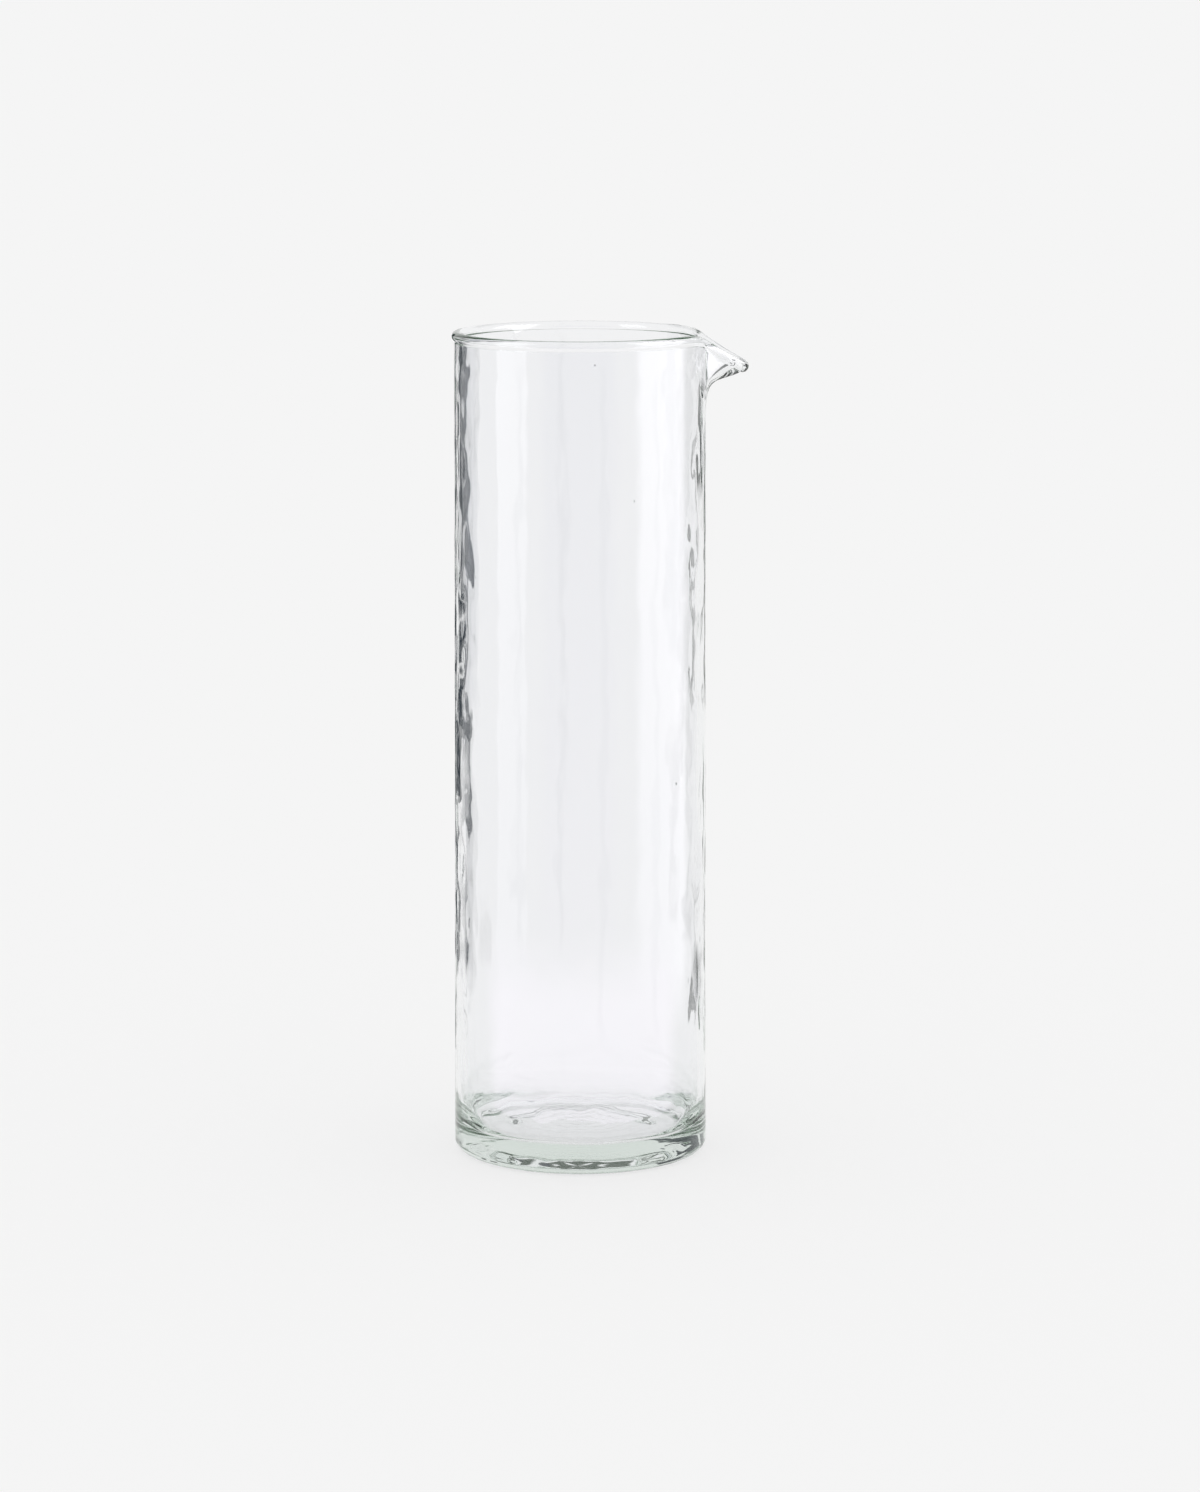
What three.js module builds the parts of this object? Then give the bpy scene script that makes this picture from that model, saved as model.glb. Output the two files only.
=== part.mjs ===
// Clear glass pitcher: a tall blown cylinder with a heavy base, a rolled rim and a pulled spout.
// Millimetres, +Z up. The origin is on the body's axis, in the plane that the base stands on.
// The spout points along +X.

import * as THREE from 'three';

const { clamp, degToRad, lerp, smoothstep } = THREE.MathUtils;

// Body, a tube that narrows very slightly towards the rim
const HEIGHT = 260;
const HEEL_DIAMETER = 80;
const NARROWING = 1.8;
const WALL = 2.4;

// Base, a thick flat disc of glass with a rounded heel and a soft corner inside
const BASE_THICKNESS = 9;
const HEEL_RADIUS = 3.5;
const FLOOR_FILLET = 4;

// Lip, the reheated top of the tube, which ends in a round bead that overhangs the wall
const LIP_HEIGHT = 30;
const BEAD_DIAMETER = 3.2;
const BEAD_OVERHANG = 0.8;

// Spout, a slight flare of the lip with a narrow beak drawn out of its middle
const FLARE_REACH = 1.2;
const FLARE_DROP = 2.3;
const FLARE_LEAN = degToRad(6);
const FLARE_SPREAD = degToRad(16);
const BEAK_REACH = 11.3;
const BEAK_DROP = 6.8;
const BEAK_LEAN = degToRad(56);
const BEAK_SPREAD = degToRad(8.3);
const SPOUT_ROOT_HANDLE = 17;
const SPOUT_TIP_HANDLE = 12.2;

// The pull thins the glass and the bead of the beak, which swells again into a rounded nose
const BEAK_WALL = 1.9;
const BEAK_BEAD_DIAMETER = 2.1;
const THIN_FROM = 0.1;
const THIN_TO = 0.8;
const NOSE_DIAMETER = 4;
const NOSE_SPREAD = degToRad(4);
const NOSE_SHIFT = 0.2;
const NOSE_FILL = 0.85;
const NOSE_FROM = 0.6;

// Facets
const ROUND_STEPS = 64;
const ARC_STEPS = 3;
const LIP_STEPS = 104;
const LIP_CROWDING = 0.8;
const SIDE_STEPS = 9;
const BEAD_STEPS = 8;
const SLOPE_STEP = 1e-4;

// Levels and radii that follow from the sizes above
const RIM_DIAMETER = HEEL_DIAMETER - NARROWING;
const BASE_TOP = BASE_THICKNESS + FLOOR_FILLET;
const LIP_BOTTOM = HEIGHT - LIP_HEIGHT;
const BEAD_RADIUS = BEAD_DIAMETER / 2;
const BEAD_HEIGHT = HEIGHT - BEAD_RADIUS;
const BEAD_SHIFT = WALL / 2 + BEAD_OVERHANG - BEAD_RADIUS;
const NOSE_RADIUS = NOSE_DIAMETER / 2;

// The sides of the lip stop a little below the widest bead. The speed of the lip's curve at its
// upper end is three times its last handle.
const BEAD_ROOM = 1.1;
const SIDE_END = 1 - BEAD_ROOM * Math.max(BEAD_RADIUS, NOSE_RADIUS) / (3 * SPOUT_TIP_HANDLE);

function outerRadius(height) {
  return lerp(HEEL_DIAMETER, RIM_DIAMETER, height / HEIGHT) / 2;
}

function innerRadius(height) {
  return outerRadius(height) - WALL;
}

function middleRadius(height) {
  return outerRadius(height) - WALL / 2;
}

function glass() {
  return new THREE.MeshStandardMaterial({
    color: 0xe3ece9,
    roughness: 0.05,
    metalness: 0,
    transparent: true,
    opacity: 0.35,
  });
}

// A profile of radius and height, turned about +Z
function turned(profile) {
  return new THREE.LatheGeometry(profile, ROUND_STEPS).rotateX(Math.PI / 2);
}

// The base reaches up to the top of its inner fillet, where the plain wall begins
function baseGeometry() {
  const foot = outerRadius(HEEL_RADIUS) - HEEL_RADIUS;
  const floorEdge = innerRadius(BASE_TOP) - FLOOR_FILLET;
  const outline = new THREE.Path();
  outline.moveTo(0, 0);
  outline.lineTo(foot, 0);
  outline.absarc(foot, HEEL_RADIUS, HEEL_RADIUS, -Math.PI / 2, 0, false);
  outline.lineTo(outerRadius(BASE_TOP), BASE_TOP);
  outline.lineTo(innerRadius(BASE_TOP), BASE_TOP);
  outline.absarc(floorEdge, BASE_TOP, FLOOR_FILLET, 0, -Math.PI / 2, true);
  outline.lineTo(0, BASE_THICKNESS);
  return turned(outline.getPoints(ARC_STEPS));
}

function wallGeometry() {
  const outline = new THREE.Path();
  outline.moveTo(innerRadius(BASE_TOP), BASE_TOP);
  outline.lineTo(outerRadius(BASE_TOP), BASE_TOP);
  outline.lineTo(outerRadius(LIP_BOTTOM), LIP_BOTTOM);
  outline.lineTo(innerRadius(LIP_BOTTOM), LIP_BOTTOM);
  outline.closePath();
  return turned(outline.getPoints());
}

function bell(angle, spread) {
  return Math.exp(-((angle / spread) ** 2));
}

// Middle of the glass from the wall up to the bead, at one angle from the spout's centre line.
// Away from the spout it stands upright. At the spout it leans out and its end is lower.
function lipCurve(angle) {
  const flare = bell(angle, FLARE_SPREAD);
  const beak = bell(angle, BEAK_SPREAD);
  const reach = FLARE_REACH * flare + BEAK_REACH * beak;
  const drop = FLARE_DROP * flare + BEAK_DROP * beak;
  const lean = FLARE_LEAN * flare + BEAK_LEAN * beak;
  const rootHeight = LIP_BOTTOM + SPOUT_ROOT_HANDLE;
  const crest = new THREE.Vector2(middleRadius(BEAD_HEIGHT) + reach, BEAD_HEIGHT - drop);
  const handle = new THREE.Vector2(Math.sin(lean), Math.cos(lean)).multiplyScalar(SPOUT_TIP_HANDLE);
  return new THREE.CubicBezierCurve(
    new THREE.Vector2(middleRadius(LIP_BOTTOM), LIP_BOTTOM),
    new THREE.Vector2(middleRadius(rootHeight), rootHeight),
    crest.clone().sub(handle),
    crest,
  );
}

function lipMiddle(angle, along) {
  const { x: radius, y: height } = lipCurve(angle).getPoint(along);
  return new THREE.Vector3(radius * Math.cos(angle), radius * Math.sin(angle), height);
}

// The middle point with its directions out of the glass and up towards the bead
function lipFrame(angle, along) {
  const around = lipMiddle(angle + SLOPE_STEP, along).sub(lipMiddle(angle - SLOPE_STEP, along)).normalize();
  const rise = lipMiddle(angle, along + SLOPE_STEP).sub(lipMiddle(angle, along - SLOPE_STEP));
  const out = around.clone().cross(rise).normalize();
  return { middle: lipMiddle(angle, along), out, up: out.clone().cross(around) };
}

// Half the thickness of the glass
function halfWall(angle, along) {
  const thinned = bell(angle, BEAK_SPREAD) * smoothstep(along, THIN_FROM, THIN_TO);
  const swollen = bell(angle, NOSE_SPREAD) * smoothstep(along, NOSE_FROM, 1);
  return lerp(lerp(WALL, BEAK_WALL, thinned) / 2, NOSE_FILL * NOSE_RADIUS, swollen);
}

// A point on the outside (side 1) or the inside (side -1) of the lip
function lipSkin(angle, along, side) {
  if (along === 0) {
    const radius = middleRadius(LIP_BOTTOM) + side * WALL / 2;
    return new THREE.Vector3(radius * Math.cos(angle), radius * Math.sin(angle), LIP_BOTTOM);
  }
  const { middle, out } = lipFrame(angle, along);
  return middle.addScaledVector(out, side * halfWall(angle, along));
}

// The bead from where it comes out of the outside of the lip, over the top, to the inside.
// Its centre lies a little outside the middle of the wall.
function beadArc(angle) {
  const nose = bell(angle, NOSE_SPREAD);
  const half = halfWall(angle, 1);
  const drawn = lerp(BEAD_RADIUS, BEAK_BEAD_DIAMETER / 2, bell(angle, FLARE_SPREAD));
  const radius = lerp(drawn, NOSE_RADIUS, nose);
  const shift = lerp(BEAD_SHIFT * (1 - bell(angle, BEAK_SPREAD)), NOSE_SHIFT, nose);
  const start = -Math.acos(clamp((half - shift) / radius, -1, 1));
  const end = 2 * Math.PI - Math.acos(clamp((-half - shift) / radius, -1, 1));
  const points = [];
  for (let step = 0; step <= BEAD_STEPS; step += 1) {
    const turn = lerp(start, end, step / BEAD_STEPS);
    const { middle, out, up } = lipFrame(angle, 1);
    middle.addScaledVector(out, shift + Math.cos(turn) * radius);
    points.push(middle.addScaledVector(up, Math.sin(turn) * radius));
  }
  return points;
}

// A closed cut through the lip: up the outside, over the bead and down the inside
function lipSection(angle) {
  const outside = [];
  const inside = [];
  for (let step = 0; step <= SIDE_STEPS; step += 1) {
    outside.push(lipSkin(angle, SIDE_END * step / SIDE_STEPS, 1));
    inside.unshift(lipSkin(angle, SIDE_END * step / SIDE_STEPS, -1));
  }
  return [...outside, ...beadArc(angle), ...inside];
}

// Closed cuts joined one to the next, all the way round
function loft(sections) {
  const size = sections[0].length;
  const index = [];
  for (let here = 0; here < sections.length; here += 1) {
    const next = (here + 1) % sections.length;
    for (let low = 0; low < size; low += 1) {
      const high = (low + 1) % size;
      index.push(here * size + low, next * size + low, next * size + high);
      index.push(here * size + low, next * size + high, here * size + high);
    }
  }
  const geometry = new THREE.BufferGeometry().setFromPoints(sections.flat());
  geometry.setIndex(index);
  geometry.computeVertexNormals();
  return geometry;
}

// The cuts stand closest together at the spout
function lipGeometry() {
  const sections = [];
  for (let step = 0; step < LIP_STEPS; step += 1) {
    const turn = 2 * Math.PI * (step / LIP_STEPS - 0.5);
    sections.push(lipSection(turn - LIP_CROWDING * Math.sin(turn)));
  }
  return loft(sections);
}

function piece(name, geometry) {
  const mesh = new THREE.Mesh(geometry, glass());
  mesh.name = name;
  return mesh;
}

const pitcher = new THREE.Group();
pitcher.add(piece('heavy_base', baseGeometry()));
pitcher.add(piece('body_wall', wallGeometry()));
pitcher.add(piece('pouring_lip', lipGeometry()));

export default pitcher;
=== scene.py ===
"""Looks of a clear glass pitcher: a hammered blown tube with a heavy base, a rolled rim and a pulled spout.

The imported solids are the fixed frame. One seamless closed mesh of glass stands for their three zones.
Units are metres, +Z is up, the base stands on the plane z = 0 and the spout points along +X.
"""

from __future__ import annotations

import logging
import math
from dataclasses import dataclass, field
from enum import Enum

import bpy
import numpy as np
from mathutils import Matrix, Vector


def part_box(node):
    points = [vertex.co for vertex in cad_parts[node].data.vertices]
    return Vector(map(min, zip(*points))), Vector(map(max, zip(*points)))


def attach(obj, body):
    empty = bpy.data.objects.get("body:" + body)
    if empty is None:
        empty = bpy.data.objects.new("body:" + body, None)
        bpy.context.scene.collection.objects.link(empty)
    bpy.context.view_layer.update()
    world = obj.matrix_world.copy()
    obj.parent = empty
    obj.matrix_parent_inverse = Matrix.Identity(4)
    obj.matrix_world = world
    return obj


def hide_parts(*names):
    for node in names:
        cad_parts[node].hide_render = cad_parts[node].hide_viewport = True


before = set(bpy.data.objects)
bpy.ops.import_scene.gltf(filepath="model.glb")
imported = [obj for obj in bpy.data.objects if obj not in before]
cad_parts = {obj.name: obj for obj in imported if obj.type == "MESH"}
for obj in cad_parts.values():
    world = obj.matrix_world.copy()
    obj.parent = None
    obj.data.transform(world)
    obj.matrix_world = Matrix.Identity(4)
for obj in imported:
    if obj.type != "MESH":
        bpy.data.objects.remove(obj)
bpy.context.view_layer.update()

LOG = logging.getLogger("glass_pitcher")
MM = 0.001
Colour = tuple[float, float, float]

# Tones of the studio cards
DUSK: Colour = (0.03, 0.04, 0.05)
MOSS: Colour = (0.04, 0.05, 0.045)
SLATE: Colour = (0.30, 0.32, 0.34)
SMOKE: Colour = (0.28, 0.30, 0.34)


class Zone(Enum):
    """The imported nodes, one for each zone of the glass."""

    BASE = "heavy_base"
    WALL = "body_wall"
    LIP = "pouring_lip"

    @property
    def low(self) -> Vector:
        """Lowest corner of the zone's box."""
        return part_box(self.value)[0]

    @property
    def high(self) -> Vector:
        """Highest corner of the zone's box."""
        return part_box(self.value)[1]


class Wire:
    """An output socket that stands for its value in Python expressions."""

    def __init__(self, socket: bpy.types.NodeSocket) -> None:
        """Keeps the socket and the tree that it belongs to."""
        self.socket = socket
        self.board = Board(socket.id_data)

    def _math(self, operation: str, first: Term, second: Term) -> Wire:
        """Adds one Math node.

        Args:
            operation: The node's operation.
            first: Its first value.
            second: Its second value.

        Returns:
            The node's result.
        """
        return self.board.node("ShaderNodeMath", {"operation": operation}, {0: first, 1: second})

    def __add__(self, other: Term) -> Wire:
        """Sum."""
        return self._math("ADD", self, other)

    def __radd__(self, other: Term) -> Wire:
        """Sum, with the wire on the right."""
        return self._math("ADD", other, self)

    def __sub__(self, other: Term) -> Wire:
        """Difference."""
        return self._math("SUBTRACT", self, other)

    def __rsub__(self, other: Term) -> Wire:
        """Difference, with the wire on the right."""
        return self._math("SUBTRACT", other, self)

    def __mul__(self, other: Term) -> Wire:
        """Product."""
        return self._math("MULTIPLY", self, other)

    def __rmul__(self, other: Term) -> Wire:
        """Product, with the wire on the right."""
        return self._math("MULTIPLY", other, self)

    def __or__(self, other: Term) -> Wire:
        """The larger of the two values."""
        return self._math("MAXIMUM", self, other)

    def __ror__(self, other: Term) -> Wire:
        """The larger of the two values, with the wire on the right."""
        return self._math("MAXIMUM", other, self)


Term = Wire | float


class Board:
    """A node tree that nodes are added to."""

    def __init__(self, tree: bpy.types.NodeTree) -> None:
        """Keeps the tree."""
        self.tree = tree

    @classmethod
    def cleared(cls, owner: bpy.types.Material | bpy.types.World) -> Board:
        """Turns on the nodes of a material or world and removes those that it starts with.

        Args:
            owner: The material or the world.

        Returns:
            Its empty board.
        """
        owner.use_nodes = True
        owner.node_tree.nodes.clear()
        return cls(owner.node_tree)

    def node(
        self,
        kind: str,
        settings: dict[str, object] | None = None,
        sockets: dict[str | int, object] | None = None,
        output: str | int = 0,
    ) -> Wire | None:
        """Adds a node.

        Args:
            kind: The node's type.
            settings: Its settings, set first.
            sockets: Values or wires for its input sockets.
            output: The output socket that is wanted.

        Returns:
            That output, or None for a node without outputs.
        """
        made = self.tree.nodes.new(kind)
        for name, value in (settings or {}).items():
            setattr(made, name, value)
        for name, value in (sockets or {}).items():
            if isinstance(value, Wire):
                self.tree.links.new(value.socket, made.inputs[name])
            else:
                made.inputs[name].default_value = value
        return Wire(made.outputs[output]) if made.outputs else None

    def smooth(self, value: Wire, low: float, high: float, at_low: float, at_high: float) -> Wire:
        """Carries a value smoothly from one range to another, and holds it at the ends.

        Args:
            value: The value.
            low: Where the change starts.
            high: Where the change ends.
            at_low: The result up to low.
            at_high: The result from high on.

        Returns:
            The new value.
        """
        limits = {"Value": value, "From Min": low, "From Max": high, "To Min": at_low, "To Max": at_high}
        return self.node("ShaderNodeMapRange", {"interpolation_type": "SMOOTHSTEP"}, limits)

    def mix(self, factor: Term, first: object, second: object) -> Wire:
        """Mixes two colours.

        Args:
            factor: Share of the second colour.
            first: The first colour or wire.
            second: The second colour or wire.

        Returns:
            The mixed colour.
        """
        settings = {"data_type": "RGBA"}
        return self.node("ShaderNodeMix", settings, {0: factor, 6: first, 7: second}, output=2)


def opaque(colour: Colour) -> tuple[float, float, float, float]:
    """The colour with a full fourth channel, as colour sockets take it."""
    return (*colour, 1.0)


@dataclass(frozen=True)
class ClearGlass:
    """Clear soda-lime glass, fire polished, with a faint green body that shows where it is thick."""

    index: float = 1.5
    body_tint: Colour = (0.52, 0.64, 0.545)
    body_density: float = 8.5
    clean: Colour = (0.987, 0.987, 0.995)
    hazy: Colour = (0.975, 0.976, 0.990)
    cloud_scale: float = 30.0
    cloud_detail: float = 3.0
    polished: float = 0.0
    worn: float = 0.012
    grain_scale: float = 420.0
    grain_detail: float = 2.0
    grain_height: float = 0.004 * MM

    def material(self) -> bpy.types.Material:
        """Makes the glass.

        Returns:
            A material with a clear surface and a tinted inside.
        """
        made = bpy.data.materials.new("clear_glass")
        board = Board.cleared(made)
        place = board.node("ShaderNodeTexCoord", output="Object")
        cloud, grain = (
            board.node("ShaderNodeTexNoise", None, {"Vector": place, "Scale": scale, "Detail": detail})
            for scale, detail in ((self.cloud_scale, self.cloud_detail), (self.grain_scale, self.grain_detail))
        )
        tone = board.mix(cloud, opaque(self.clean), opaque(self.hazy))
        wear = self.polished + (self.worn - self.polished) * cloud
        bump = board.node("ShaderNodeBump", None, {"Strength": 1.0, "Distance": self.grain_height, "Height": grain})
        surface = board.node(
            "ShaderNodeBsdfPrincipled",
            None,
            {
                "Base Color": tone,
                "Roughness": wear,
                "Normal": bump,
                "IOR": self.index,
                "Transmission Weight": 1.0,
            },
        )
        body = board.node(
            "ShaderNodeVolumeAbsorption",
            None,
            {"Color": opaque(self.body_tint), "Density": self.body_density},
        )
        board.node("ShaderNodeOutputMaterial", None, {"Surface": surface, "Volume": body})
        return made


@dataclass(frozen=True)
class Tube:
    """The round body: a tube that narrows very slightly from its lower seam to the rim."""

    seam_radius: float
    seam_height: float
    height: float
    narrowing: float = 1.8 * MM
    wall: float = 2.4 * MM

    @classmethod
    def from_frame(cls) -> Tube:
        """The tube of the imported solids."""
        return cls(seam_radius=Zone.WALL.high.y, seam_height=Zone.WALL.low.z, height=Zone.LIP.high.z)

    def outer(self, height: np.ndarray | float) -> np.ndarray | float:
        """Radius of the outside at a height."""
        return self.seam_radius - self.narrowing / 2 * (height - self.seam_height) / self.height

    def inner(self, height: np.ndarray | float) -> np.ndarray | float:
        """Radius of the inside at a height."""
        return self.outer(height) - self.wall

    def middle(self, height: np.ndarray | float) -> np.ndarray | float:
        """Radius half way through the glass at a height."""
        return self.outer(height) - self.wall / 2


@dataclass(frozen=True)
class Dial:
    """The angles round the pitcher at which its rings have points, closest together at the spout."""

    steps: int = 300
    crowding: float = 4.0
    crowded: float = math.radians(12)
    fine_steps: int = 7200

    def angles(self) -> np.ndarray:
        """Spaces the angles out.

        Returns:
            Angles from the spout's centre line, counterclockwise seen from above.
        """
        fine = np.linspace(-math.pi, math.pi, self.fine_steps + 1)
        dense = np.cumsum(1 + self.crowding * np.exp(-((fine / self.crowded) ** 2)))
        share = (dense - dense[0]) / (dense[-1] - dense[0])
        return np.interp(np.arange(self.steps) / self.steps, share, fine)


@dataclass(frozen=True)
class Hammering:
    """Soft blows over one face of the wall, on a jittered grid."""

    seed: int
    pitch_around: float
    pitch_up: float
    depth: float
    radius: float = 40.0 * MM
    bottom: float = 0.0
    top: float = 260.0 * MM
    jitter: float = 0.45
    spread: float = 0.42
    smallest: float = 0.7
    largest: float = 1.3

    def relief(self, angle: np.ndarray, height: np.ndarray) -> np.ndarray:
        """How far the face stands out of a plain tube.

        Args:
            angle: Angles round the pitcher.
            height: Heights of the rings.

        Returns:
            Offsets along the face's normal, one row for each height.
        """
        rng = np.random.default_rng(self.seed)
        around = round(2 * math.pi * self.radius / self.pitch_around)
        rows = round((self.top - self.bottom) / self.pitch_up)
        column, row = (part.ravel() for part in np.meshgrid(np.arange(around), np.arange(rows)))
        offset = rng.uniform(-self.jitter, self.jitter, (2, column.size))
        size = rng.uniform(self.smallest, self.largest, (2, column.size)) * self.spread
        strength = rng.uniform(-1.0, 1.0, column.size) * self.depth
        blow_angle = 2 * math.pi * (column + 0.5 * (row % 2) + offset[0]) / around
        blow_height = self.bottom + (row + 0.5 + offset[1]) * self.pitch_up
        apart = (angle[:, None] - blow_angle + math.pi) % (2 * math.pi) - math.pi
        across = np.exp(-0.5 * (apart * self.radius / (size[0] * self.pitch_around)) ** 2)
        along = np.exp(-0.5 * ((height[:, None] - blow_height) / (size[1] * self.pitch_up)) ** 2)
        return (along * strength) @ across.T


def fade(value: np.ndarray, start: float, end: float) -> np.ndarray:
    """Smooth step.

    Args:
        value: Where it is worked out.
        start: Where the step begins.
        end: Where it ends, above or below start.

    Returns:
        0 up to start, 1 from end on and a smooth way between.
    """
    share = np.clip((value - start) / (end - start), 0.0, 1.0)
    return share * share * (3 - 2 * share)


def rings(radius: np.ndarray, angle: np.ndarray, height: np.ndarray) -> np.ndarray:
    """Points of rings about the axis.

    Args:
        radius: Radii, one row for each ring.
        angle: Angles round the pitcher.
        height: Heights, one row for each ring.

    Returns:
        Points, as rings by angles by coordinates.
    """
    radius, height = np.broadcast_arrays(radius, height)
    shape = (radius.shape[0], angle.size)
    radius, height = np.broadcast_to(radius, shape), np.broadcast_to(height, shape)
    return np.stack([radius * np.cos(angle), radius * np.sin(angle), height], axis=-1)


@dataclass(frozen=True)
class HammeredFace:
    """One face of the wall: fine dimples and blows over a broad swell, all fading out at the rim and the base."""

    blows: Hammering
    swell: Hammering
    dimples: Hammering
    calm_below: float = 6.0 * MM
    full_above: float = 24.0 * MM
    full_below: float = 249.0 * MM
    calm_above: float = 257.0 * MM

    def relief(self, angle: np.ndarray, height: np.ndarray) -> np.ndarray:
        """How far the face stands out of a plain tube.

        Args:
            angle: Angles round the pitcher.
            height: Heights of the rings.

        Returns:
            Offsets along the face's normal, one row for each height.
        """
        fading = fade(height, self.calm_below, self.full_above) * fade(height, self.calm_above, self.full_below)
        layers = (self.blows, self.swell, self.dimples)
        return sum(layer.relief(angle, height) for layer in layers) * fading[:, None]


@dataclass(frozen=True)
class HeavyBase:
    """The thick disc at the bottom, with an uneven heel, a recess in its underside and a rippled floor.

    The wall has a thick foot inside, which is narrow at the front, towards -Y. One uneven wave shapes
    the foot, the floor and the recess, and the turns, in radians, shift it so that they differ.
    """

    tube: Tube
    thickness: float = 9.0 * MM
    heel_radius: float = 3.5 * MM
    foot_top: float = 17.0 * MM
    foot_width: float = 9.5 * MM
    foot_front_width: float = 3.0 * MM
    foot_rise: float = 0.2 * MM
    foot_end: float = math.radians(70)
    recess_depth: float = 1.8 * MM
    recess_starts: float = 23.5 * MM
    recess_full: float = 19.7 * MM
    recess_wave: float = 2.0 * MM
    recess_turn: float = 2.0
    floor_wave: float = 0.8 * MM
    floor_turn: float = 1.0
    ripple_height: float = 0.04 * MM
    ripple_pitch: float = 5.0 * MM
    edge_wave: float = 0.7 * MM
    edge_power: int = 14
    front_calm: float = 0.85
    front_reach: float = 0.7
    wave_cycles: tuple[int, ...] = (2, 3, 5, 7, 8, 12)
    wave_least: float = 0.4
    wave_fall: float = 0.3
    dents: Hammering = Hammering(seed=13, pitch_around=4.0 * MM, pitch_up=3.0 * MM, depth=0.12 * MM, top=9.0 * MM)
    dents_end: float = 8.0 * MM
    seed: int = 11
    under_rings: int = 27
    heel_rings: int = 9
    side_rings: int = 7
    fillet_rings: int = 9
    floor_rings: int = 18

    @property
    def foot(self) -> float:
        """Radius of the underside, where the heel begins."""
        return self.tube.outer(self.heel_radius) - self.heel_radius

    def corner_width(self, angle: np.ndarray) -> np.ndarray:
        """How far the thick foot of the wall stands in, least at the front."""
        return self.foot_width + (self.foot_front_width - self.foot_width) * self.front(angle)

    def corner_height(self, angle: np.ndarray) -> np.ndarray:
        """Height of the thick foot of the wall, most at the front."""
        return self.foot_top - self.thickness - self.foot_rise * (1 - self.front(angle))

    def front(self, angle: np.ndarray) -> np.ndarray:
        """1 at the front, 0 at the sides and the back."""
        return fade(np.sin(angle), 0.0, -self.front_reach)

    def swell(self, angle: np.ndarray, height: np.ndarray) -> np.ndarray:
        """How far the inside of the wall stands in over its foot, one row for each height."""
        turn = np.arcsin(np.clip((self.foot_top - height)[:, None] / self.corner_height(angle), 0.0, 1.0))
        return (1 - np.cos(turn)) * self.corner_width(angle)

    def wave(self, angle: np.ndarray) -> np.ndarray:
        """An uneven wave round the axis.

        Args:
            angle: Angles round the pitcher.

        Returns:
            Heights of the wave, between -1 and 1.
        """
        rng = np.random.default_rng(self.seed)
        total = np.zeros_like(angle)
        for cycles in self.wave_cycles:
            strength = rng.uniform(self.wave_least, 1.0)
            phase = rng.uniform(0.0, 2 * math.pi)
            total += strength * np.sin(cycles * angle + phase) / cycles**self.wave_fall
        return total / np.abs(total).max()

    def outside(self, angle: np.ndarray, face: HammeredFace) -> np.ndarray:
        """Rings of the underside, the heel and the side, from the middle outwards and up.

        Args:
            angle: Angles round the pitcher.
            face: The wall's outside, which begins on the side.

        Returns:
            The rings' points.
        """
        radius = self.foot * (np.arange(1, self.under_rings + 1) / (self.under_rings + 1))[:, None]
        uneven = radius + self.recess_wave * self.wave(angle + self.recess_turn) * radius / self.recess_starts
        ripple = self.ripple_height * np.sin(2 * math.pi * uneven / self.ripple_pitch)
        lift = (self.recess_depth + ripple) * fade(uneven, self.recess_starts, self.recess_full)
        under = rings(radius, angle, lift)
        turn = np.linspace(-math.pi / 2, 0.0, self.heel_rings)
        height = self.heel_radius * (1 + np.sin(turn))
        dent = self.dents.relief(angle, height) * (np.cos(turn) * fade(height, self.dents_end, 0.0))[:, None]
        heel = rings((self.foot + self.heel_radius * np.cos(turn))[:, None] + dent, angle, height[:, None])
        height = np.linspace(self.heel_radius, self.tube.seam_height, self.side_rings + 1)[1:]
        dent = self.dents.relief(angle, height) * fade(height, self.dents_end, 0.0)[:, None]
        side = rings(self.tube.outer(height)[:, None] + face.relief(angle, height) + dent, angle, height[:, None])
        return np.concatenate([under, heel, side])

    def inside(self, angle: np.ndarray, face: HammeredFace) -> np.ndarray:
        """Rings of the thick foot and the floor, from the wall down and inwards.

        Args:
            angle: Angles round the pitcher.
            face: The wall's inside, which ends on the foot.

        Returns:
            The rings' points.
        """
        seam = np.array([self.tube.seam_height])
        width, tall = self.corner_width(angle), self.corner_height(angle)
        first = np.arcsin((self.foot_top - seam[0]) / tall)
        share = np.linspace(0.0, 1.0, self.fillet_rings)[1:, None]
        turn = first + (self.foot_end - first) * share
        lift = self.edge_wave * self.wave(angle) * (1 - self.front_calm * self.front(angle))
        lift = lift * fade(share, 0.0, 1.0)
        centre = self.tube.inner(seam[0]) - face.relief(angle, seam) - width
        radius = centre + width * np.cos(turn)
        height = self.foot_top - tall * np.sin(turn) + lift
        fillet = rings(radius, angle, height)
        share = np.arange(self.floor_rings, 0, -1)[:, None] / (self.floor_rings + 1)
        way = radius[-1] * share
        uneven = way + self.floor_wave * self.wave(angle + self.floor_turn)
        ripple = self.ripple_height * np.sin(2 * math.pi * uneven / self.ripple_pitch) * np.sin(math.pi * share)
        edge = (height[-1] - self.thickness) * share**self.edge_power
        floor = rings(way, angle, self.thickness + edge + ripple)
        return np.concatenate([fillet, floor])


@dataclass(frozen=True)
class Bell:
    """How strongly a pull on the hot lip acts at an angle from the spout's centre line."""

    spread: float

    def share(self, angle: np.ndarray) -> np.ndarray:
        """1 on the centre line, falling to 0 on both sides."""
        return np.exp(-((angle / self.spread) ** 2))


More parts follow.
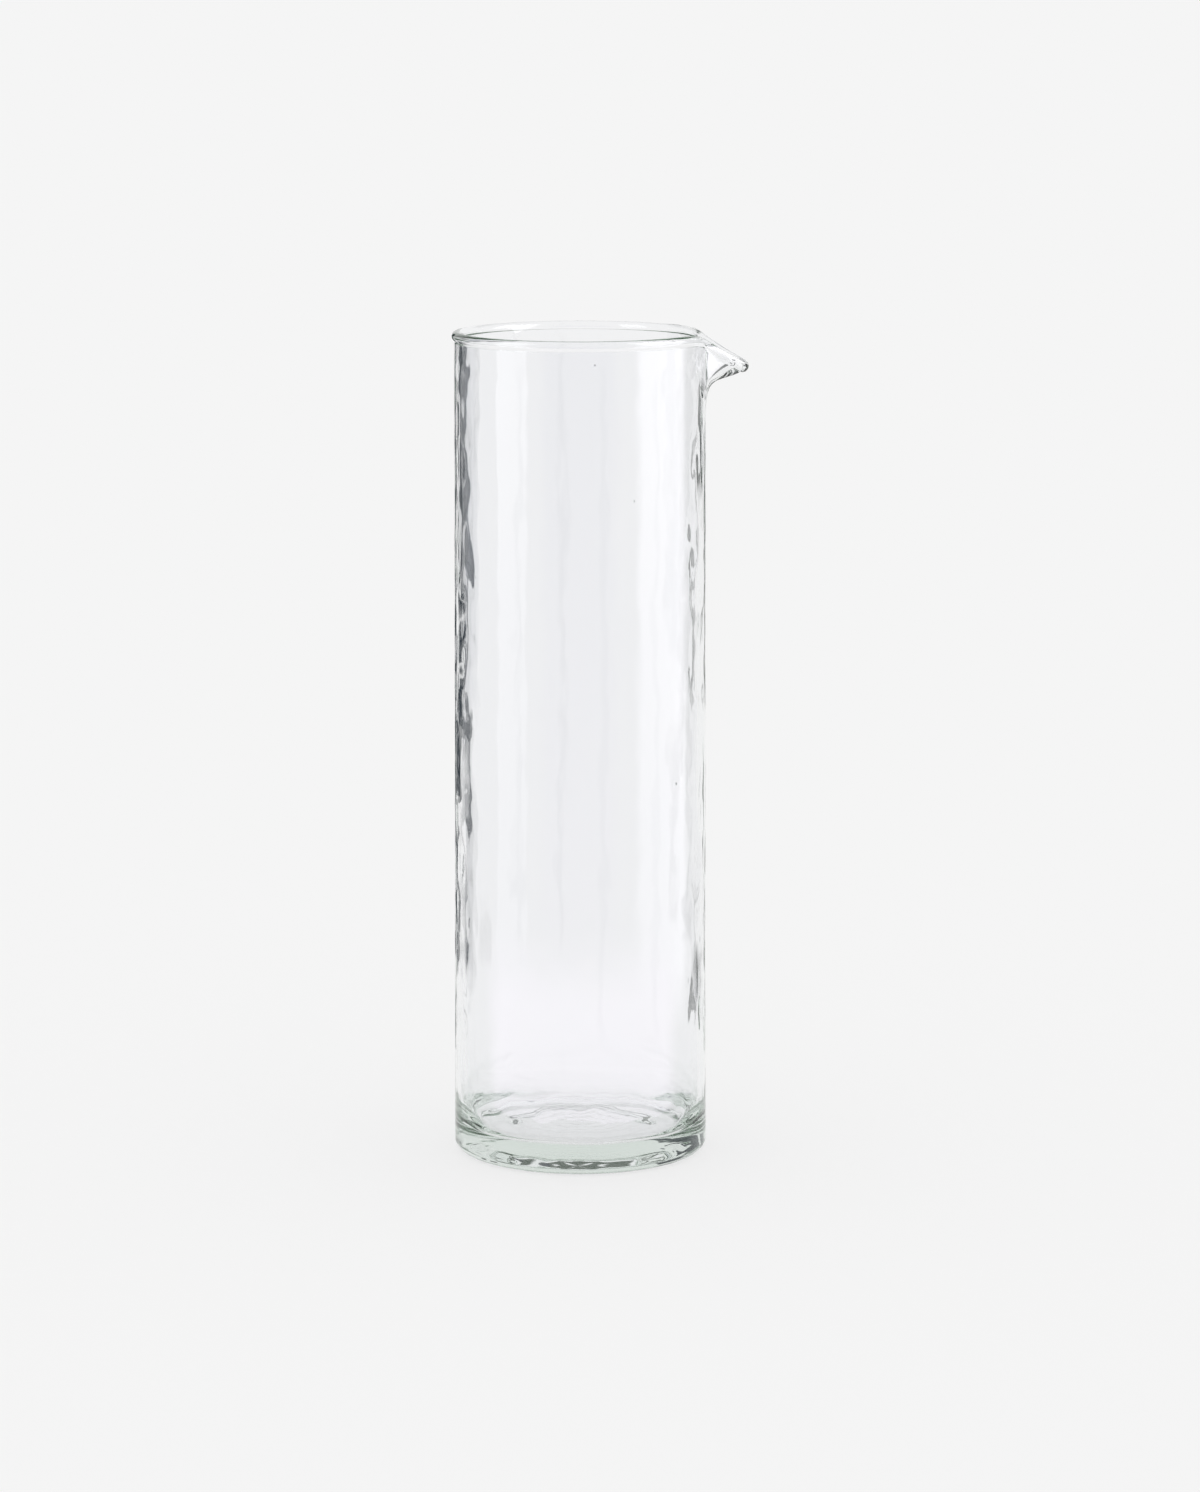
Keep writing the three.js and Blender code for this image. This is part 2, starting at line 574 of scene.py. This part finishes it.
@dataclass(frozen=True)
class PouringLip:
    """The reheated top of the tube, with its rolled bead and the spout that is pulled out of it."""

    tube: Tube
    bottom: float
    bead_radius: float = 1.6 * MM
    bead_overhang: float = 0.8 * MM
    bead_room: float = 1.1
    flare: Bell = Bell(math.radians(16))
    flare_reach: float = 1.2 * MM
    flare_drop: float = 2.3 * MM
    flare_lean: float = math.radians(6)
    beak: Bell = Bell(math.radians(8.3))
    beak_reach: float = 11.3 * MM
    beak_drop: float = 6.8 * MM
    beak_lean: float = math.radians(56)
    beak_wall: float = 1.9 * MM
    thin_from: float = 0.1
    thin_to: float = 0.8
    beak_bead_radius: float = 1.25 * MM
    nose: Bell = Bell(math.radians(6.5))
    nose_radius: float = 2.0 * MM
    nose_shift: float = 0.2 * MM
    nose_fill: float = 0.85
    nose_starts: float = 0.6
    root_handle: float = 17.0 * MM
    tip_handle: float = 12.2 * MM
    side_rings: int = 22
    bead_rings: int = 16
    slope_step: float = 1e-4

    @property
    def bead_height(self) -> float:
        """Height of the bead's centre away from the spout."""
        return self.tube.height - self.bead_radius

    @property
    def bead_shift(self) -> float:
        """How far the bead's centre lies outside the middle of the wall, away from the spout."""
        return self.tube.wall / 2 + self.bead_overhang - self.bead_radius

    @property
    def bead_foot(self) -> float:
        """Share of the way up the lip at which the bead begins."""
        return 1 - self.bead_room * self.nose_radius / (3 * self.tip_handle)

    def middle(self, angle: np.ndarray, along: np.ndarray) -> np.ndarray:
        """Points half way through the glass.

        Args:
            angle: Angles round the pitcher.
            along: Shares of the way up the lip, as a column.

        Returns:
            Points, as rings by angles by coordinates.
        """
        flare, beak = self.flare.share(angle), self.beak.share(angle)
        reach = self.flare_reach * flare + self.beak_reach * beak
        drop = self.flare_drop * flare + self.beak_drop * beak
        lean = self.flare_lean * flare + self.beak_lean * beak
        root = self.bottom + self.root_handle
        start = (self.tube.middle(self.bottom), self.bottom)
        first = (self.tube.middle(root), root)
        crest = (self.tube.middle(self.bead_height) + reach, self.bead_height - drop)
        last = (crest[0] - self.tip_handle * np.sin(lean), crest[1] - self.tip_handle * np.cos(lean))
        back = 1 - along
        radius, height = (
            back**3 * a + 3 * back**2 * along * b + 3 * back * along**2 * c + along**3 * d
            for a, b, c, d in zip(start, first, last, crest)
        )
        return rings(radius, angle, height)

    def half_wall(self, angle: np.ndarray, along: np.ndarray) -> np.ndarray:
        """Half the thickness of the glass, which the pull thins, and which swells again into the nose.

        Args:
            angle: Angles round the pitcher.
            along: Shares of the way up the lip, as a column.

        Returns:
            Half thicknesses, one row for each share.
        """
        thinned = self.beak.share(angle) * fade(along, self.thin_from, self.thin_to)
        half = (self.tube.wall + (self.beak_wall - self.tube.wall) * thinned) / 2
        swollen = self.nose.share(angle) * fade(along, self.nose_starts, 1.0)
        return half + (self.nose_fill * self.nose_radius - half) * swollen

    def axes(self, angle: np.ndarray, along: np.ndarray) -> tuple[np.ndarray, np.ndarray]:
        """Directions out of the glass and up towards the bead.

        Args:
            angle: Angles round the pitcher.
            along: Shares of the way up the lip, as a column.

        Returns:
            Unit directions out and up, each as rings by angles by coordinates.
        """
        step = self.slope_step
        around = self.middle(angle + step, along) - self.middle(angle - step, along)
        around /= np.linalg.norm(around, axis=-1, keepdims=True)
        rise = self.middle(angle, along + step) - self.middle(angle, along - step)
        out = np.cross(around, rise)
        out /= np.linalg.norm(out, axis=-1, keepdims=True)
        return out, np.cross(out, around)

    def skin(self, angle: np.ndarray, along: np.ndarray, side: int, face: HammeredFace) -> np.ndarray:
        """Rings of one side of the lip below the bead.

        Args:
            angle: Angles round the pitcher.
            along: Shares of the way up the lip.
            side: 1 for the outside, -1 for the inside.
            face: The hammered face that runs up this side.

        Returns:
            The rings' points.
        """
        way = along[:, None]
        out, _ = self.axes(angle, way)
        height = self.bottom + along * (self.bead_height - self.bottom)
        thick = self.half_wall(angle, way) + face.relief(angle, height) * (1 - self.beak.share(angle))
        return self.middle(angle, way) + side * thick[..., None] * out

    def bead(self, angle: np.ndarray) -> np.ndarray:
        """Rings of the bead, from its foot on the outside over the top to its foot on the inside.

        Args:
            angle: Angles round the pitcher.

        Returns:
            The rings' points.
        """
        crest = np.ones((1, 1))
        out, up = self.axes(angle, crest)
        beak, nose = self.beak.share(angle), self.nose.share(angle)
        half = self.half_wall(angle, crest)[0]
        radius = self.bead_radius + (self.beak_bead_radius - self.bead_radius) * self.flare.share(angle)
        radius = radius + (self.nose_radius - radius) * nose
        shift = self.bead_shift * (1 - beak)
        shift = shift + (self.nose_shift - shift) * nose
        start = -np.arccos(np.clip((half - shift) / radius, -1.0, 1.0))
        end = 2 * math.pi - np.arccos(np.clip((-half - shift) / radius, -1.0, 1.0))
        turn = start + (end - start) * np.linspace(0.0, 1.0, self.bead_rings)[:, None]
        sideways = (shift + radius * np.cos(turn))[..., None]
        return self.middle(angle, crest) + sideways * out + (radius * np.sin(turn))[..., None] * up

    def rings(self, angle: np.ndarray, outside: HammeredFace, inside: HammeredFace) -> np.ndarray:
        """Rings up the outside of the lip, over the bead and down the inside.

        Args:
            angle: Angles round the pitcher.
            outside: The wall's outer face.
            inside: The wall's inner face.

        Returns:
            The rings' points.
        """
        along = np.linspace(0.0, self.bead_foot, self.side_rings + 1)[1:]
        up = self.skin(angle, along, 1, outside)
        down = self.skin(angle, along[::-1], -1, inside)
        return np.concatenate([up, self.bead(angle), down])


@dataclass(frozen=True)
class Seed:
    """A tiny bubble caught in the wall."""

    angle: float
    height: float
    width: float
    length: float
    meridians: int = 10
    parallels: int = 5

    def rings(self, radius: float) -> tuple[np.ndarray, np.ndarray, np.ndarray]:
        """The bubble's points.

        Args:
            radius: Distance of its centre from the pitcher's axis.

        Returns:
            Rings from the bottom up, the bottom point and the top point.
        """
        centre = np.array([radius * math.cos(self.angle), radius * math.sin(self.angle), self.height])
        turn = 2 * math.pi * np.arange(self.meridians) / self.meridians
        tilt = np.linspace(-math.pi / 2, math.pi / 2, self.parallels + 2)[1:-1, None]
        body = rings(self.width / 2 * np.cos(tilt), turn, self.length / 2 * np.sin(tilt))
        tip = np.array([0.0, 0.0, self.length / 2])
        return body + centre, centre - tip, centre + tip


@dataclass
class Skin:
    """Points and faces of closed shells, gathered for one mesh."""

    points: list[np.ndarray] = field(default_factory=list)
    faces: list[tuple[int, ...]] = field(default_factory=list)
    count: int = 0

    def add_shell(self, body: np.ndarray, first: np.ndarray, last: np.ndarray, hollow: bool = False) -> None:
        """Adds a shell of rings that closes in a point at each end.

        Args:
            body: The rings, as rings by angles by coordinates.
            first: The point before the first ring.
            last: The point after the last ring.
            hollow: Whether the faces look inwards, as round a bubble.
        """
        rows, steps, _ = body.shape
        index = self.count + np.arange(rows * steps).reshape(rows, steps)
        beside = np.roll(index, -1, axis=1)
        quads = np.stack([index[:-1], beside[:-1], beside[1:], index[1:]], axis=-1).reshape(-1, 4)
        low, high = self.count + rows * steps, self.count + rows * steps + 1
        made = [tuple(quad) for quad in quads.tolist()]
        made += [(low, right, left) for left, right in zip(index[0].tolist(), beside[0].tolist())]
        made += [(high, left, right) for left, right in zip(index[-1].tolist(), beside[-1].tolist())]
        self.faces += [face[::-1] for face in made] if hollow else made
        self.points.append(np.concatenate([body.reshape(-1, 3), first[None], last[None]]))
        self.count += rows * steps + 2

    def to_object(self, name: str) -> bpy.types.Object:
        """Makes a smooth mesh object.

        Args:
            name: The object's name.

        Returns:
            The object, linked to the scene.
        """
        mesh = bpy.data.meshes.new(name)
        mesh.from_pydata(np.concatenate(self.points).tolist(), [], self.faces)
        mesh.validate()
        mesh.shade_smooth()
        made = bpy.data.objects.new(name, mesh)
        bpy.context.scene.collection.objects.link(made)
        return made


@dataclass
class Pitcher:
    """The whole vessel, one seamless piece of glass."""

    tube: Tube = field(default_factory=Tube.from_frame)
    dial: Dial = Dial()
    outside: HammeredFace = HammeredFace(
        blows=Hammering(seed=3, pitch_around=6.0 * MM, pitch_up=10.0 * MM, depth=0.07 * MM),
        swell=Hammering(seed=5, pitch_around=16.0 * MM, pitch_up=32.0 * MM, depth=0.03 * MM),
        dimples=Hammering(seed=15, pitch_around=3.0 * MM, pitch_up=4.5 * MM, depth=0.04 * MM),
    )
    inside: HammeredFace = HammeredFace(
        blows=Hammering(seed=7, pitch_around=6.0 * MM, pitch_up=11.0 * MM, depth=0.07 * MM),
        swell=Hammering(seed=9, pitch_around=18.0 * MM, pitch_up=34.0 * MM, depth=0.03 * MM),
        dimples=Hammering(seed=17, pitch_around=3.0 * MM, pitch_up=4.5 * MM, depth=0.04 * MM),
    )
    wall_rings: int = 101
    finish: ClearGlass = ClearGlass()
    seeds: tuple[Seed, ...] = (
        Seed(math.radians(-40), 121.6 * MM, 0.8 * MM, 1.0 * MM),
        Seed(math.radians(-83), 252.8 * MM, 0.5 * MM, 0.7 * MM),
        Seed(math.radians(158), 181.0 * MM, 0.7 * MM, 0.9 * MM),
        Seed(math.radians(62), 203.0 * MM, 0.5 * MM, 0.9 * MM),
    )

    def wall(self, angle: np.ndarray, side: int, base: HeavyBase) -> np.ndarray:
        """Rings of the wall between its two seams, from the bottom up.

        Args:
            angle: Angles round the pitcher.
            side: 1 for the outside, -1 for the inside.
            base: The base, whose thick foot runs up the inside.

        Returns:
            The rings' points.
        """
        height = np.linspace(Zone.WALL.low.z, Zone.WALL.high.z, self.wall_rings + 1)[1:]
        face = self.outside if side > 0 else self.inside
        plain = self.tube.middle(height)[:, None] + side * self.tube.wall / 2
        foot = base.swell(angle, height) if side < 0 else 0.0
        return rings(plain + side * face.relief(angle, height) - foot, angle, height[:, None])

    def build(self) -> bpy.types.Object:
        """Makes the glass as one closed mesh, with its seeds as hollows.

        Returns:
            The vessel.
        """
        angle = self.dial.angles()
        base = HeavyBase(self.tube)
        lip = PouringLip(self.tube, bottom=Zone.LIP.low.z)
        body = np.concatenate(
            [
                base.outside(angle, self.outside),
                self.wall(angle, 1, base),
                lip.rings(angle, self.outside, self.inside),
                self.wall(angle, -1, base)[::-1],
                base.inside(angle, self.inside),
            ]
        )
        skin = Skin()
        skin.add_shell(body, np.array([0.0, 0.0, base.recess_depth]), np.array([0.0, 0.0, base.thickness]))
        for seed in self.seeds:
            skin.add_shell(*seed.rings(self.tube.middle(seed.height)), hollow=True)
        return skin.to_object("glass_vessel")

    def dress(self, vessel: bpy.types.Object) -> None:
        """Gives the vessel its finish and its place in the frame.

        Args:
            vessel: The glass.
        """
        vessel.data.materials.append(self.finish.material())
        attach(vessel, "root")
        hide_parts("heavy_base", "body_wall", "pouring_lip")


@dataclass(frozen=True)
class Card:
    """A curved studio card that stands round the pitcher and shows only in its glass.

    Bearings are in degrees from +X, counterclockwise seen from above. The card thins out softly
    towards its two sides, its foot and its top. Its glow changes from the foot to the top where it
    has a high glow too. Faces of the glass mirror it if it is mirrored, and it shows through the
    glass if it is through.
    """

    name: str
    bearings: tuple[float, float]
    distance: float
    heights: tuple[float, float]
    glow: Colour
    high_glow: Colour | None = None
    soft_side: float = 3.0
    soft_end: float = 40.0 * MM
    mirrored: bool = True
    through: bool = True
    columns: int = 48
    rows: int = 48

    def build(self) -> bpy.types.Object:
        """Makes the card.

        Returns:
            The card, which only the glass sees.
        """
        (first, last), (bottom, top) = self.bearings, self.heights
        bearing = np.linspace(first, last, self.columns + 1)
        height = np.linspace(bottom, top, self.rows + 1)
        points = rings(np.full((height.size, 1), self.distance), np.radians(bearing), height[:, None])
        sides = fade(bearing, first, first + self.soft_side) * fade(bearing, last, last - self.soft_side)
        ends = fade(height, bottom, bottom + self.soft_end) * fade(height, top, top - self.soft_end)
        cover = ends[:, None] * sides
        step = bearing.size
        faces = [
            (low + left, low + left + 1, low + left + 1 + step, low + left + step)
            for low in range(0, self.rows * step, step)
            for left in range(self.columns)
        ]
        mesh = bpy.data.meshes.new(self.name)
        mesh.from_pydata(points.reshape(-1, 3).tolist(), [], faces)
        mesh.attributes.new("cover", "FLOAT", "POINT").data.foreach_set("value", cover.ravel())
        made = bpy.data.objects.new(self.name, mesh)
        bpy.context.scene.collection.objects.link(made)
        mesh.materials.append(self.material())
        made.visible_camera = False
        made.visible_diffuse = False
        made.visible_shadow = False
        made.visible_glossy = self.mirrored
        made.visible_transmission = self.through
        return made

    def material(self) -> bpy.types.Material:
        """Makes the glow of the card, which is clear where its cover thins out.

        Returns:
            The material.
        """
        made = bpy.data.materials.new(self.name)
        board = Board.cleared(made)
        place = board.node("ShaderNodeTexCoord", output="Object")
        height = board.node("ShaderNodeSeparateXYZ", None, {"Vector": place}, output="Z")
        share = board.smooth(height, *self.heights, 0.0, 1.0)
        tone = board.mix(share, opaque(self.glow), opaque(self.high_glow or self.glow))
        glow = board.node("ShaderNodeEmission", None, {"Color": tone, "Strength": 1.0})
        clear = board.node("ShaderNodeBsdfTransparent")
        cover = board.node("ShaderNodeAttribute", {"attribute_name": "cover"}, output="Fac")
        mixed = board.node("ShaderNodeMixShader", None, {0: cover, 1: clear, 2: glow})
        board.node("ShaderNodeOutputMaterial", None, {"Surface": mixed})
        return made


@dataclass(frozen=True)
class Backdrop:
    """A pale floor that runs to the horizon and an even pale room above it.

    The glass also shows a dark band of the room, high up behind the pitcher, which draws the dark
    streak in its base. The band's limits are parts of a ray's direction, upwards and to the back.
    """

    pale: float = 0.913
    floor_half: float = 40.0
    floor_level: float = -0.05 * MM
    shadow_share: float = 0.24
    ceiling: Colour = (0.06, 0.085, 0.06)
    ceiling_starts: float = 0.42
    ceiling_full: float = 0.56
    ceiling_fades: float = 0.78
    ceiling_ends: float = 0.88
    ceiling_side: float = 0.44
    ceiling_back: float = 0.62

    @staticmethod
    def seen(board: Board) -> Wire:
        """Tells the rays that show the backdrop from those that light the scene.

        Args:
            board: The board that asks.

        Returns:
            1 for straight rays, mirrored ones and those through glass.
        """
        straight = board.node("ShaderNodeLightPath", output="Is Camera Ray")
        mirrored = board.node("ShaderNodeLightPath", output="Is Glossy Ray")
        through = board.node("ShaderNodeLightPath", output="Is Transmission Ray")
        return straight | mirrored | through

    def build_floor(self) -> bpy.types.Object:
        """Makes the floor.

        Returns:
            The floor.
        """
        half = self.floor_half
        corners = [(-half, -half, 0.0), (half, -half, 0.0), (half, half, 0.0), (-half, half, 0.0)]
        mesh = bpy.data.meshes.new("pale_floor")
        mesh.from_pydata(corners, [], [(0, 1, 2, 3)])
        made = bpy.data.objects.new("pale_floor", mesh)
        made.location.z = self.floor_level
        bpy.context.scene.collection.objects.link(made)
        mesh.materials.append(self.floor_material())
        return made

    def floor_material(self) -> bpy.types.Material:
        """Makes matt pale paper, part of whose tone is its own, so that it keeps only a light shadow.

        Returns:
            The material.
        """
        made = bpy.data.materials.new("pale_floor")
        board = Board.cleared(made)
        tone = opaque((self.pale, self.pale, self.pale))
        matt = board.node("ShaderNodeBsdfDiffuse", None, {"Color": tone})
        glow = board.node("ShaderNodeEmission", None, {"Color": tone, "Strength": 1.0})
        share = self.seen(board) * (1 - self.shadow_share)
        mixed = board.node("ShaderNodeMixShader", None, {0: share, 1: matt, 2: glow})
        board.node("ShaderNodeOutputMaterial", None, {"Surface": mixed})
        return made

    def build_room(self) -> None:
        """Lights the scene evenly.

        The lighting itself is white. What the camera and the glass see is pale, and only the glass
        sees the dark band.
        """
        world = bpy.data.worlds.new("pale_room")
        bpy.context.scene.world = world
        board = Board.cleared(world)
        direction = board.node("ShaderNodeTexCoord", output="Generated")
        lift = board.node("ShaderNodeSeparateXYZ", None, {"Vector": direction}, output="Z")
        back = board.node("ShaderNodeSeparateXYZ", None, {"Vector": direction}, output="Y")
        straight = board.node("ShaderNodeLightPath", output="Is Camera Ray")
        pale, white = opaque((self.pale, self.pale, self.pale)), opaque((1.0, 1.0, 1.0))
        above = board.smooth(lift, self.ceiling_starts, self.ceiling_full, 0.0, 1.0)
        above = above * board.smooth(lift, self.ceiling_fades, self.ceiling_ends, 1.0, 0.0)
        above = above * board.smooth(back, self.ceiling_side, self.ceiling_back, 0.0, 1.0)
        shown = board.mix(above * (1 - straight), pale, opaque(self.ceiling))
        tone = board.mix(self.seen(board), white, shown)
        light = board.node("ShaderNodeBackground", None, {"Color": tone, "Strength": 1.0})
        board.node("ShaderNodeOutputWorld", None, {"Surface": light})


@dataclass(frozen=True)
class Viewpoint:
    """The camera: in front of the pitcher and a little above its rim, looking down at its middle."""

    eye: tuple[float, float, float] = (0.00625, -1.536, 0.3915)
    pitch: float = math.radians(9.69)
    lens: float = 119.4
    sensor: float = 36.0

    def build(self) -> bpy.types.Object:
        """Makes the camera and gives it to the scene.

        Returns:
            The camera.
        """
        data = bpy.data.cameras.new("viewpoint")
        data.sensor_width = self.sensor
        data.lens = self.lens
        made = bpy.data.objects.new("viewpoint", data)
        made.location = self.eye
        made.rotation_euler = (math.pi / 2 - self.pitch, 0.0, 0.0)
        bpy.context.scene.collection.objects.link(made)
        bpy.context.scene.camera = made
        return made


@dataclass(frozen=True)
class Studio:
    """Everything round the pitcher: camera, backdrop, dark cards for its edges and soft boxes for its sheen."""

    viewpoint: Viewpoint = Viewpoint()
    backdrop: Backdrop = Backdrop()
    bounces: int = 128

    # Dark cards, which draw the edges of the glass: at its left, at its right and, seen from behind, at its front
    dark_cards: tuple[Card, ...] = (
        Card("dark_card_left_back", (113.2, 123.5), 0.20, (0.057, 0.300), DUSK, soft_side=0.8, soft_end=12 * MM),
        Card("dark_card_left_low", (112.0, 126.0), 0.27, (0.000, 0.060), DUSK, soft_side=1.0, soft_end=8 * MM),
        Card("dark_card_left_foot", (117.0, 122.0), 0.15, (-0.010, 0.024), DUSK, soft_side=1.0, soft_end=6 * MM),
        Card("dark_card_left_far", (122.0, 150.0), 0.60, (0.085, 0.270), DUSK, soft_side=1.5, soft_end=12 * MM),
        Card("dark_card_left_far_low", (141.5, 152.0), 0.64, (-0.010, 0.046), DUSK, soft_side=1.5, soft_end=8 * MM),
        Card("dark_card_left_far_inner", (116.0, 128.5), 0.64, (-0.010, 0.046), DUSK, soft_side=1.5, soft_end=8 * MM),
        Card("dark_card_left_farthest", (122.0, 150.0), 0.85, (-0.010, 0.055), DUSK, soft_side=1.5, soft_end=10 * MM),
        Card("dark_card_left_outer", (146.5, 162.0), 0.27, (0.000, 0.085), DUSK, soft_side=2.0, soft_end=12 * MM),
        Card("dim_card_left", (147.0, 168.0), 0.27, (0.100, 0.270), SMOKE, soft_side=2.0, soft_end=20 * MM),
        Card("dark_card_right_high", (43.0, 53.0), 0.20, (0.185, 0.250), MOSS, soft_side=0.6, soft_end=12 * MM),
        Card("dark_card_right_back", (60.0, 66.5), 0.20, (0.110, 0.215), MOSS, soft_side=0.5, soft_end=12 * MM),
        Card("dark_card_right_low", (62.0, 66.0), 0.27, (0.000, 0.036), MOSS, soft_side=0.6, soft_end=8 * MM),
        Card("dark_card_right_near", (62.0, 65.0), 0.15, (0.006, 0.028), MOSS, soft_side=0.6, soft_end=6 * MM),
        Card("dark_card_right_foot", (21.0, 47.0), 0.15, (0.015, 0.043), MOSS, soft_side=10.0, soft_end=11 * MM),
        *(
            Card(name, bearings, 0.20, (0.000, 0.240), SLATE, soft_side=2.0, soft_end=12 * MM, mirrored=False)
            for name, bearings in (
                ("dark_card_front_left", (286.0, 294.0)),
                ("dark_card_front_right", (336.0, 344.0)),
            )
        ),
    )

    # Soft boxes, whose mirror images are the sheen on the glass
    soft_boxes: tuple[Card, ...] = (
        Card(
            "dim_card_front",
            bearings=(232.0, 306.0),
            distance=0.30,
            heights=(0.000, 0.320),
            glow=(0.80, 0.73, 0.94),
            high_glow=(0.14, 0.19, 0.42),
            soft_side=14.0,
            through=False,
        ),
        Card(
            "soft_box_left",
            bearings=(193.5, 226.0),
            distance=0.22,
            heights=(0.000, 0.500),
            glow=(1.6, 1.6, 1.68),
            high_glow=(4.2, 4.2, 4.3),
            soft_end=20 * MM,
            through=False,
        ),
        Card(
            "soft_box_right",
            bearings=(315.0, 378.0),
            distance=0.22,
            heights=(0.000, 0.500),
            glow=(2.3, 2.26, 2.4),
            high_glow=(5.7, 5.6, 5.8),
            soft_side=11.0,
            soft_end=20 * MM,
            through=False,
        ),
        Card(
            "soft_box_front",
            bearings=(188.0, 356.0),
            distance=0.11,
            heights=(-0.030, 0.065),
            glow=(2.6, 2.3, 2.75),
            soft_side=20.0,
            soft_end=30 * MM,
            through=False,
        ),
    )

    def build(self) -> None:
        """Sets up the studio and the way its picture is shown.

        The glass needs many bounces, because rays run a long way inside its wall.
        """
        scene = bpy.context.scene
        scene.view_settings.view_transform = "Standard"
        scene.cycles.max_bounces = self.bounces
        scene.cycles.glossy_bounces = self.bounces
        scene.cycles.transmission_bounces = self.bounces
        self.viewpoint.build()
        self.backdrop.build_room()
        self.backdrop.build_floor()
        for card in self.dark_cards + self.soft_boxes:
            card.build()


def main() -> None:
    """Builds the studio and the pitcher, and reports the vessel's points and faces.
    """
    logging.basicConfig(level=logging.INFO, format="%(name)s: %(message)s")
    Studio().build()
    pitcher = Pitcher()
    vessel = pitcher.build()
    pitcher.dress(vessel)
    LOG.info("%s: %d points, %d faces", vessel.name, len(vessel.data.vertices), len(vessel.data.polygons))


if __name__ == "__main__":
    main()
